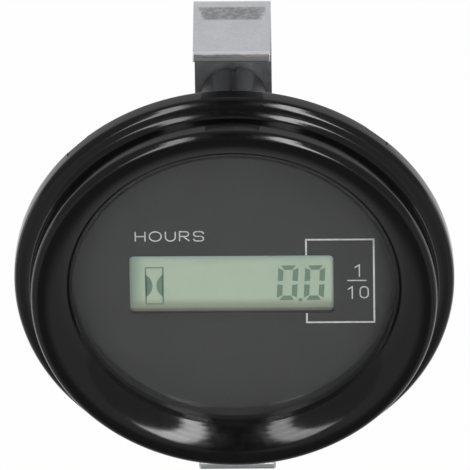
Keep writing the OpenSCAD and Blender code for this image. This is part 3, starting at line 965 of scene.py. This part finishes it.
class HOURMETER_OT_case(bpy.types.Operator):
    """Turn the rear case, add its bosses and marks, and cut its holes and slots"""

    bl_idname = "hour_meter.case"
    bl_label = "Rear case"
    bl_options = {"REGISTER", "UNDO"}

    def execute(self, context):
        meter = context.scene.hour_meter
        r = meter.rear
        low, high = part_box("rear_case")
        tab_reach = 8.5 * MM
        boss_y, hump_y = high.y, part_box("terminal_positive")[1].y - tab_reach
        piece = self.cup(meter, low.y, hump_y)
        bosses = [self.boss(r, side, hump_y, boss_y) for side in (-1, 1)]
        combine(piece, "UNION", *bosses, *self.marks(hump_y))
        combine(piece, "DIFFERENCE", *self.holes(boss_y))
        soften(piece, 0.12 * MM, 2, 40)
        dress(piece, "meter", "case_plastic", satin_black(meter.colours.case), "rear_case", smooth=35)
        return {"FINISHED"}

    def cup(self, meter, low_y, hump_y):
        r, b = meter.rear, meter.bezel
        collar_r = b.pocket_r - 0.1 * MM
        wall = 1.5 * MM
        rear_y = CASE_FLOOR + wall
        step_r, step_y = b.bore_r - 1.3 * MM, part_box("lcd_frame")[1].y
        edge, root = 0.4 * MM, 0.6 * MM
        s = Section("case_cup").start(b.bore_r, low_y).line((collar_r, low_y), (collar_r, 0))
        s.line((r.barrel_r, 0), (r.barrel_r, rear_y - edge)).arc((r.barrel_r - edge, rear_y - edge), 90, 5)
        s.line((r.hump_r + root, rear_y)).arc((r.hump_r + root, rear_y + root), -90, 6)
        s.line((r.hump_r, hump_y - r.hump_round))
        s.arc((r.hump_r - r.hump_round, hump_y - r.hump_round), 90, 8).line((0, hump_y), (0, hump_y - wall))
        s.line((r.hump_r - wall, hump_y - wall), (r.hump_r - wall, CASE_FLOOR), (step_r, CASE_FLOOR))
        return s.line((step_r, step_y), (b.bore_r, step_y), (b.bore_r, low_y)).turned(160)

    def boss(self, r, side, hump_y, boss_y):
        """A stud boss with the mould's groove along its outer side."""
        root_depth = 6.5 * MM
        boss = rod("boss", r.boss_r, hump_y - root_depth, boss_y, bevel=0.25 * MM, steps=72)
        shift(boss, z=side * STUD_Z)
        outer = side * (STUD_Z + r.boss_r)
        depth, half_w = 0.6 * MM, 0.4 * MM
        groove_low = CASE_FLOOR + 1.5 * MM
        groove = block("groove", Vector((-half_w, groove_low, outer - depth)),
                       Vector((half_w, boss_y + MM, outer + depth)))
        return combine(boss, "DIFFERENCE", groove)

    def marks(self, hump_y):
        """Raised polarity marks: a plus and a minus beside the tabs."""
        tab_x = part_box("terminal_positive")[1].x - 0.4 * MM
        mark_z, long, thin, height = 6.9 * MM, 1.5 * MM, 0.4 * MM, 0.4 * MM
        bars = [(tab_x, long, thin), (-tab_x, long, thin), (tab_x, thin, long)]
        for x, half_w, half_h in bars:
            yield block("mark", Vector((x - half_w, hump_y - height, mark_z - half_h)),
                        Vector((x + half_w, hump_y + height, mark_z + half_h)))

    def holes(self, boss_y):
        hole_r, head_r, head_h = 2.03 * MM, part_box("stud_upper")[1].x + 0.03 * MM, 1.6 * MM
        start_y = CASE_FLOOR - MM
        for side in (-1, 1):
            yield shift(rod("stud_hole", hole_r, start_y, boss_y + MM, steps=48), z=side * STUD_Z)
            yield shift(rod("head_pocket", head_r, start_y, CASE_FLOOR + head_h, steps=48), z=side * STUD_Z)
        for node in ("terminal_positive", "terminal_negative"):
            low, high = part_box(node)
            margin = Vector((0.1 * MM, 0, -0.65 * MM))
            yield block("tab_slot", Vector((low.x, start_y, low.z)) - margin,
                        Vector((high.x, boss_y, high.z)) + margin)


class HOURMETER_OT_tabs(bpy.types.Operator):
    """Stamp the two push-on tabs"""

    bl_idname = "hour_meter.tabs"
    bl_label = "Tabs"
    bl_options = {"REGISTER", "UNDO"}

    def execute(self, context):
        metal = brushed_metal("tinned_brass", (0.66, 0.62, 0.50), (500, 500, 6000), (0.24, 0.38))
        right = self.tab("tab_positive", "terminal_positive")
        left = self.tab("tab_negative", "terminal_negative")
        dress(right, "meter", "tinned_brass", metal, "terminal_positive")
        dress(left, "meter", "tinned_brass", metal, "terminal_negative")
        return {"FINISHED"}

    def tab(self, name, node):
        low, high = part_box(node)
        half, tail, shoulder = 3.15 * MM, 1.2 * MM, high.z
        seat_y, neck_y = low.y + 1.2 * MM, high.y - 10.5 * MM
        bevel = 1.2 * MM
        half_outline = [(low.y, tail), (seat_y, tail), (seat_y, shoulder), (neck_y, shoulder),
                        (neck_y, half), (high.y - bevel, half), (high.y, half - bevel)]
        outline = half_outline + [(y, -z) for y, z in reversed(half_outline)]
        s = Section(name, "YZ", low.x).start(*outline[0]).line(*outline[1:]).close()
        piece = s.raised(high.x - low.x)
        hole_y, hole_r = high.y - 3.6 * MM, 0.9 * MM
        hole = Section("tab_hole", "YZ", low.x - MM).start(hole_y - hole_r, 0).arc((hole_y, 0), 360, 32)
        bpy.ops.mesh.select_all(action="SELECT")
        bpy.ops.mesh.edge_face_add()
        combine(piece, "DIFFERENCE", hole.raised(high.x - low.x + 2 * MM))
        return soften(piece, 0.1 * MM, 2)


class HOURMETER_OT_studs(bpy.types.Operator):
    """Turn the two studs and roll their threads"""

    bl_idname = "hour_meter.studs"
    bl_label = "Studs"
    bl_options = {"REGISTER", "UNDO"}

    def execute(self, context):
        meter = context.scene.hour_meter
        metal = brushed_metal("stud_steel", (0.60, 0.60, 0.62), (900, 6000, 900), (0.22, 0.36))
        upper = self.stud(meter.rear)
        lower = twin(upper, "stud_lower_thread")
        dress(shift(upper, z=STUD_Z), "meter", "stud_steel", metal, "stud_upper", smooth=28)
        dress(shift(lower, z=-STUD_Z), "meter", "stud_steel", metal, "stud_lower", smooth=28)
        return {"FINISHED"}

    def stud(self, r):
        low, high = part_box("stud_upper")
        head_r, head_y, edge = high.x, low.y + 1.6 * MM, 0.2 * MM
        tip, core = 0.5 * MM, r.stud_r - 0.38 * MM
        taper, nose, nose_drop = 0.4 * MM, 0.3 * MM, 0.25 * MM
        plain_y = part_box("rear_case")[1].y - MM
        s = Section("stud_upper_thread").start(0, low.y)
        s.line((head_r - edge, low.y), (head_r, low.y + edge), (head_r, head_y), (r.stud_r, head_y))
        s.line((r.stud_r, plain_y), (core, plain_y + taper))
        s.line((core, high.y - nose), (core - nose_drop, high.y), (0, high.y))
        shank = s.turned(64)
        ridge = combine(self.ridge(r, core, plain_y, high.y), "INTERSECT",
                        self.envelope(r, plain_y, high.y, tip))
        return combine(shank, "UNION", ridge)

    def ridge(self, r, core, start_y, end_y):
        """One helical ridge: a trapezium that a Screw modifier carries along Y."""
        inside, foot, crest = core - 0.15 * MM, 0.29 * MM, 0.06 * MM
        s = Section("thread_ridge").start(inside, start_y - foot).line((core, start_y - foot))
        s.line((r.stud_r, start_y - crest), (r.stud_r, start_y + crest), (core, start_y + foot))
        s.line((inside, start_y + foot)).close()
        rest()
        turns = math.ceil((end_y - start_y) / r.pitch)
        modify(s.piece, "SCREW", axis="Y", angle=math.tau, screw_offset=r.pitch, iterations=turns, steps=28,
               render_steps=28, use_normal_calculate=True)
        take(s.piece, "EDIT")
        bpy.ops.mesh.select_all(action="SELECT")
        bpy.ops.mesh.remove_doubles(threshold=WELD)
        bpy.ops.mesh.fill_holes(sides=0)
        return settle(s.piece)

    def envelope(self, r, start_y, end_y, tip):
        """What the thread keeps: the stud's outside with its bevelled tip."""
        outer, last_y = r.stud_r + 0.01 * MM, end_y - 0.02 * MM
        first_r, run_in = r.stud_r - 0.3 * MM, 0.5 * MM
        s = Section("thread_envelope").start(0, start_y).line((first_r, start_y))
        s.line((outer, start_y + run_in), (outer, end_y - tip), (outer - tip, last_y), (0, last_y))
        return s.turned(64)


class HOURMETER_OT_bracket(bpy.types.Operator):
    """Bend the bracket strip, pierce it, and round its sheared ends"""

    bl_idname = "hour_meter.bracket"
    bl_label = "Bracket"
    bl_options = {"REGISTER", "UNDO"}

    # How much further the rounding at a leg's end reaches along the leg than into its thickness
    roll_stretch = 1.9

    def execute(self, context):
        meter = context.scene.hour_meter
        r = meter.rear
        low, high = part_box("mounting_bracket")
        piece = self.strip(r, low, high)
        combine(piece, "DIFFERENCE", *[self.hole(side, high.y) for side in (-1, 1)])
        self.round_leg_ends(piece, r, low, high)
        soften(piece, 0.2 * MM, 3, 40)
        dress(piece, "bracket", "zinc_strip", zinc_plate(meter.colours.zinc), "mounting_bracket", smooth=40)
        return {"FINISHED"}

    def strip(self, r, low, high):
        inner_r = r.bend_r - r.strip_t
        bend_y = high.y - r.bend_r
        outer_z, inner_z = high.z, high.z - r.strip_t
        s = Section("bracket_strip", "YZ", low.x).start(low.y, -outer_z).line((bend_y, -outer_z))
        s.arc((bend_y, -outer_z + r.bend_r), 90, 14).line((high.y, outer_z - r.bend_r))
        s.arc((bend_y, outer_z - r.bend_r), 90, 14)
        s.line((low.y, outer_z), (low.y, inner_z), (bend_y, inner_z))
        s.arc((bend_y, outer_z - r.bend_r), -90, 10).line((bend_y + inner_r, -outer_z + r.bend_r))
        s.arc((bend_y, -outer_z + r.bend_r), -90, 10).line((low.y, -inner_z)).close()
        return s.raised(high.x - low.x)

    def hole(self, side, rear_y):
        hole_r = 2.3 * MM
        return shift(rod("bracket_hole", hole_r, rear_y - 3 * MM, rear_y + MM, steps=48), z=side * STUD_Z)

    def round_leg_ends(self, piece, r, low, high):
        """Rounds the corners of both legs, then their outer edges, which the shears drew in."""
        take(piece, "EDIT")
        pick(piece, "EDGE", lambda co: abs(co.y - low.y) < WELD and abs(abs(co.x) - high.x) < WELD)
        bpy.ops.mesh.bevel(offset=r.leg_round, segments=8, affect="EDGES")
        pick(piece, "EDGE", lambda co: co.y < low.y + r.leg_round + WELD and abs(abs(co.z) - high.z) < WELD)
        bpy.ops.mesh.bevel(offset=r.leg_roll, segments=5, affect="EDGES")
        reach, edge_z = r.leg_round + r.leg_roll, high.z - r.leg_roll
        pick(piece, "FACE", lambda co: co.y < low.y + reach and abs(co.z) > edge_z + WELD)
        bpy.ops.transform.resize(value=(1, self.roll_stretch, 1), center_override=(0, low.y, 0))
        rest()


class HOURMETER_OT_hardware(bpy.types.Operator):
    """Make the nuts and the split washers"""

    bl_idname = "hour_meter.hardware"
    bl_label = "Nuts and washers"
    bl_options = {"REGISTER", "UNDO"}

    def execute(self, context):
        meter = context.scene.hour_meter
        metal = brushed_metal("plated_steel", (0.62, 0.62, 0.63), (2500, 2500, 2500), (0.22, 0.36))
        spring = brushed_metal("washer_steel", (0.50, 0.50, 0.52), (3500, 800, 3500), (0.28, 0.42))
        nut = self.nut(meter.rear)
        washer = self.washer()
        pairs = ((1, "upper", nut, washer),
                 (-1, "lower", twin(nut, "nut_lower_hexagon"), twin(washer, "washer_lower_split")))
        for side, word, hexagon, ring in pairs:
            dress(shift(hexagon, z=side * STUD_Z), word + "_nut", "plated_steel", metal, "nut_" + word)
            dress(shift(ring, z=side * STUD_Z), "bracket", "plated_steel", spring, "lock_washer_" + word)
        return {"FINISHED"}

    def nut(self, r):
        low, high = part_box("nut_upper")
        corner = (high.x - low.x) / 2
        flat = corner * math.cos(math.radians(30))
        bevel, sink = 0.5 * MM, 0.35 * MM
        rest()
        bpy.ops.mesh.primitive_cylinder_add(vertices=6, radius=corner, depth=high.y - low.y + 2 * MM,
                                            location=(0, (low.y + high.y) / 2, 0),
                                            rotation=(math.radians(90), math.radians(30), 0))
        piece = bpy.context.object
        piece.name = "nut_upper_hexagon"
        bpy.ops.object.transform_apply(location=True, rotation=True, scale=False)
        outside = corner + 0.1 * MM
        s = Section("nut_bevel").start(0, low.y).line((flat, low.y), (outside, low.y + bevel))
        s.line((outside, high.y - bevel), (flat, high.y), (0, high.y))
        combine(piece, "INTERSECT", s.turned(96))
        bore = r.stud_r + 0.05 * MM
        s = Section("nut_bore").start(0, low.y - MM).line((bore + sink, low.y - MM), (bore + sink, low.y))
        s.line((bore, low.y + sink), (bore, high.y - sink), (bore + sink, high.y))
        combine(piece, "DIFFERENCE", s.line((bore + sink, high.y + MM), (0, high.y + MM)).turned(64))
        return soften(piece, 0.06 * MM, 2, 40)

    def washer(self):
        low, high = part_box("lock_washer_upper")
        outer, inner = 3.8 * MM, 2.2 * MM
        slit_degrees, slit_at = 13.4, 60
        s = Section("washer_upper_split").start(inner, low.y)
        s.line((outer, low.y), (outer, high.y), (inner, high.y)).close()
        piece = s.turned(72, 360 - slit_degrees)
        take(piece, "EDIT")
        bpy.ops.mesh.select_all(action="SELECT")
        bpy.ops.mesh.fill_holes(sides=0)
        settle(piece)
        swing(piece, slit_at + slit_degrees / 2)
        return soften(piece, 0.1 * MM, 2, 40)


class HOURMETER_OT_inside(bpy.types.Operator):
    """Finish the parts behind the dial"""

    bl_idname = "hour_meter.inside"
    bl_label = "Inside"
    bl_options = {"REGISTER", "UNDO"}

    def execute(self, context):
        resin = moulded("chip_resin", (0.015, 0.015, 0.016), 0.55)
        can = brushed_metal("can_metal", (0.70, 0.70, 0.72), (900, 5000, 900), (0.22, 0.34))
        strip = striped_rubber()
        finishes = {
            "lcd_cell": display_glass(),
            "lcd_reflector": brushed_metal("reflector_film", (0.62, 0.63, 0.60), (2000, 2000, 2000),
                                           (0.4, 0.5)),
            "lcd_frame": moulded("white_plastic", (0.78, 0.78, 0.75), 0.5),
            "elastomer_strip_upper": strip,
            "elastomer_strip_lower": strip,
            "circuit_board": board_laminate(),
            "board_screws": brushed_metal("screw_steel", (0.62, 0.62, 0.63), (2500, 2500, 2500)),
            "controller_chip": resin,
            "memory_chip": resin,
            "rectifier_diodes": resin,
            "dropper_resistors": resin,
            "quartz_crystal": can,
            "filter_capacitor": can,
            "surge_absorber": moulded("absorber_coat", (0.05, 0.12, 0.40), 0.25, 1200),
            "ceramic_capacitors": moulded("ceramic_tan", (0.42, 0.30, 0.17), 0.5),
        }
        for node, material in finishes.items():
            paint(node, material)
        return {"FINISHED"}


class HOURMETER_OT_studio(bpy.types.Operator):
    """Set up the floor, the lamps, the surround and the camera"""

    bl_idname = "hour_meter.studio"
    bl_label = "Studio"
    bl_options = {"REGISTER", "UNDO"}

    # Strip lamps on each side, one above another on an arc a metre away, further apart as they rise
    lamp_count, lamp_first, lamp_step = 5, math.radians(7.5), math.radians(15)
    lamp_across, lamp_spread = 0.31, 0.009
    lamp_width, lamp_length = 0.2, 0.28
    lamp_share = {-1: 0.9, 1: 1.55}
    lamp_inward = {-1: -0.01, 1: 0.035}
    front_shade, side_shade = (0.12, 0.12, 0.12), (0.42, 0.42, 0.42)
    floor_size, sensor_mm = 12, 36
    clip_near, clip_far = 0.01, 20

    def execute(self, context):
        studio = context.scene.hour_meter.studio
        self.floor(studio)
        for side in (-1, 1):
            for step in range(self.lamp_count):
                rise = self.lamp_first + step * self.lamp_step
                across = side * (self.lamp_across + self.lamp_spread * step * step - self.lamp_inward[side])
                place = Vector((across, -math.cos(rise), math.sin(rise)))
                self.lamp(place, studio.lamp_watts * self.lamp_share[side])
        self.surround()
        self.camera(studio)
        bpy.context.scene.view_settings.view_transform = "Standard"
        return {"FINISHED"}

    def floor(self, studio):
        rest()
        bpy.ops.mesh.primitive_plane_add(size=self.floor_size, location=(0, 0, studio.floor_z))
        floor = bpy.context.object
        floor.name = "studio_floor"
        f = Finish("floor_paper")
        x, y, _ = f.axes()
        path = f.add("ShaderNodeLightPath").socket.node.outputs
        camera, glossy, through = [Wire(f, path["Is " + name + " Ray"])
                                   for name in ("Camera", "Glossy", "Transmission")]
        behind = f.between(y, 0.0, 0.2, 0, 0.99)
        grain = f.mix(f.noise(30, 3), (0.74, 0.74, 0.74), (0.78, 0.78, 0.78))
        paper = f.add("ShaderNodeBsdfDiffuse", {}, {"Color": grain})
        # Metal and gloss see the floor white behind, grey at the sides and dark in front
        middle = f.between(abs(x), 0.3, 0.05) * f.between(y, -0.1, -0.3)
        front = f.mix(middle, self.side_shade, self.front_shade)
        glow = f.add("ShaderNodeEmission", {}, {"Color": f.mix(behind, front, (1, 1, 1)), "Strength": 1.0})
        mirrored = glossy.maths("MAXIMUM", glossy, through)
        share_seen = camera.maths("MAXIMUM", camera * behind, mirrored)
        seen = f.add("ShaderNodeMixShader", {}, {0: share_seen, 1: paper, 2: glow})
        floor.data.materials.append(f.surface(seen))

    def lamp(self, place, watts):
        rest()
        bpy.ops.object.light_add(type="AREA", location=place)
        lamp = bpy.context.object
        lamp.name = "strip_lamp"
        lamp.data.shape = "RECTANGLE"
        lamp.data.size, lamp.data.size_y = self.lamp_width, self.lamp_length
        lamp.data.energy = watts
        lamp.visible_camera = False
        along = Vector((0, -place.z, place.y)).normalized()
        back = place.normalized()
        across = along.cross(back).normalized()
        along = back.cross(across)
        lamp.matrix_world = Matrix.Translation(place) @ Matrix((across, along, back)).transposed().to_4x4()

    def surround(self):
        """A pale room: white to the camera, and to all else pale behind and grey overhead and in front."""
        world = bpy.context.scene.world or bpy.data.worlds.new("surround")
        bpy.context.scene.world = world
        world.use_nodes = True
        f = Finish("surround", world.node_tree)
        direction = f.add("ShaderNodeTexCoord", out="Generated")
        node = f.add("ShaderNodeSeparateXYZ", {}, {0: direction}).socket.node
        x, y, _ = [Wire(f, socket) for socket in node.outputs]
        camera = f.add("ShaderNodeLightPath", out="Is Camera Ray")
        # Darker in front, between the two rows of lamps
        gap = f.between(y, 0.0, -0.45) * f.between(abs(x), 0.24, 0.10)
        level = f.between(y, 0.3, 0.95, 0.3, 0.8) - gap * 0.24
        shade = f.mix(level.maths("MAXIMUM", level, camera), (0, 0, 0), (1, 1, 1))
        glow = f.add("ShaderNodeBackground", {}, {"Color": shade, "Strength": 1.0})
        f.add_output("ShaderNodeOutputWorld", glow)

    def camera(self, studio):
        a, e = studio.azimuth, studio.elevation
        back = Vector((math.sin(a) * math.cos(e), -math.cos(a) * math.cos(e), math.sin(e)))
        right = Vector((0, 0, 1)).cross(back).normalized()
        right = Matrix.Rotation(-studio.roll, 3, back) @ right
        up = back.cross(right)
        place = right * studio.aim_right + up * studio.aim_up + back * studio.distance
        rest()
        bpy.ops.object.camera_add()
        camera = bpy.context.object
        camera.name = "photo_camera"
        camera.data.lens = studio.focal
        camera.data.sensor_width = self.sensor_mm
        camera.data.clip_start, camera.data.clip_end = self.clip_near, self.clip_far
        camera.matrix_world = Matrix.Translation(place) @ Matrix((right, up, back)).transposed().to_4x4()
        bpy.context.scene.camera = camera


OPERATORS = (HOURMETER_OT_bezel, HOURMETER_OT_lens, HOURMETER_OT_dial, HOURMETER_OT_legend,
             HOURMETER_OT_display, HOURMETER_OT_case, HOURMETER_OT_tabs, HOURMETER_OT_studs,
             HOURMETER_OT_bracket, HOURMETER_OT_hardware, HOURMETER_OT_inside, HOURMETER_OT_studio)


class HOURMETER_PT_sidebar(bpy.types.Panel):
    """The hour meter's settings and steps"""

    bl_idname = "HOURMETER_PT_sidebar"
    bl_label = "Hour meter"
    bl_space_type = "VIEW_3D"
    bl_region_type = "UI"
    bl_category = "Hour meter"

    def draw(self, context):
        meter = context.scene.hour_meter
        for group in (meter.bezel, meter.dial, meter.rear, meter.colours, meter.studio):
            box = self.layout.box()
            for name in group.bl_rna.properties.keys():
                if name not in ("rna_type", "name"):
                    box.prop(group, name)
        for operator in OPERATORS:
            self.layout.operator(operator.bl_idname)


CLASSES = (BezelSizes, DialSizes, RearSizes, Colours, StudioSizes, MeterSettings, *OPERATORS,
           HOURMETER_PT_sidebar)


def register():
    for cls in CLASSES:
        bpy.utils.register_class(cls)
    bpy.types.Scene.hour_meter = PointerProperty(type=MeterSettings)


def unregister():
    del bpy.types.Scene.hour_meter
    for cls in reversed(CLASSES):
        bpy.utils.unregister_class(cls)


def main():
    register()
    bpy.ops.hour_meter.bezel()
    bpy.ops.hour_meter.lens()
    bpy.ops.hour_meter.dial()
    bpy.ops.hour_meter.legend()
    bpy.ops.hour_meter.display()
    bpy.ops.hour_meter.case()
    bpy.ops.hour_meter.tabs()
    bpy.ops.hour_meter.studs()
    bpy.ops.hour_meter.bracket()
    bpy.ops.hour_meter.hardware()
    bpy.ops.hour_meter.inside()
    bpy.ops.hour_meter.studio()


if __name__ == "__main__":
    main()
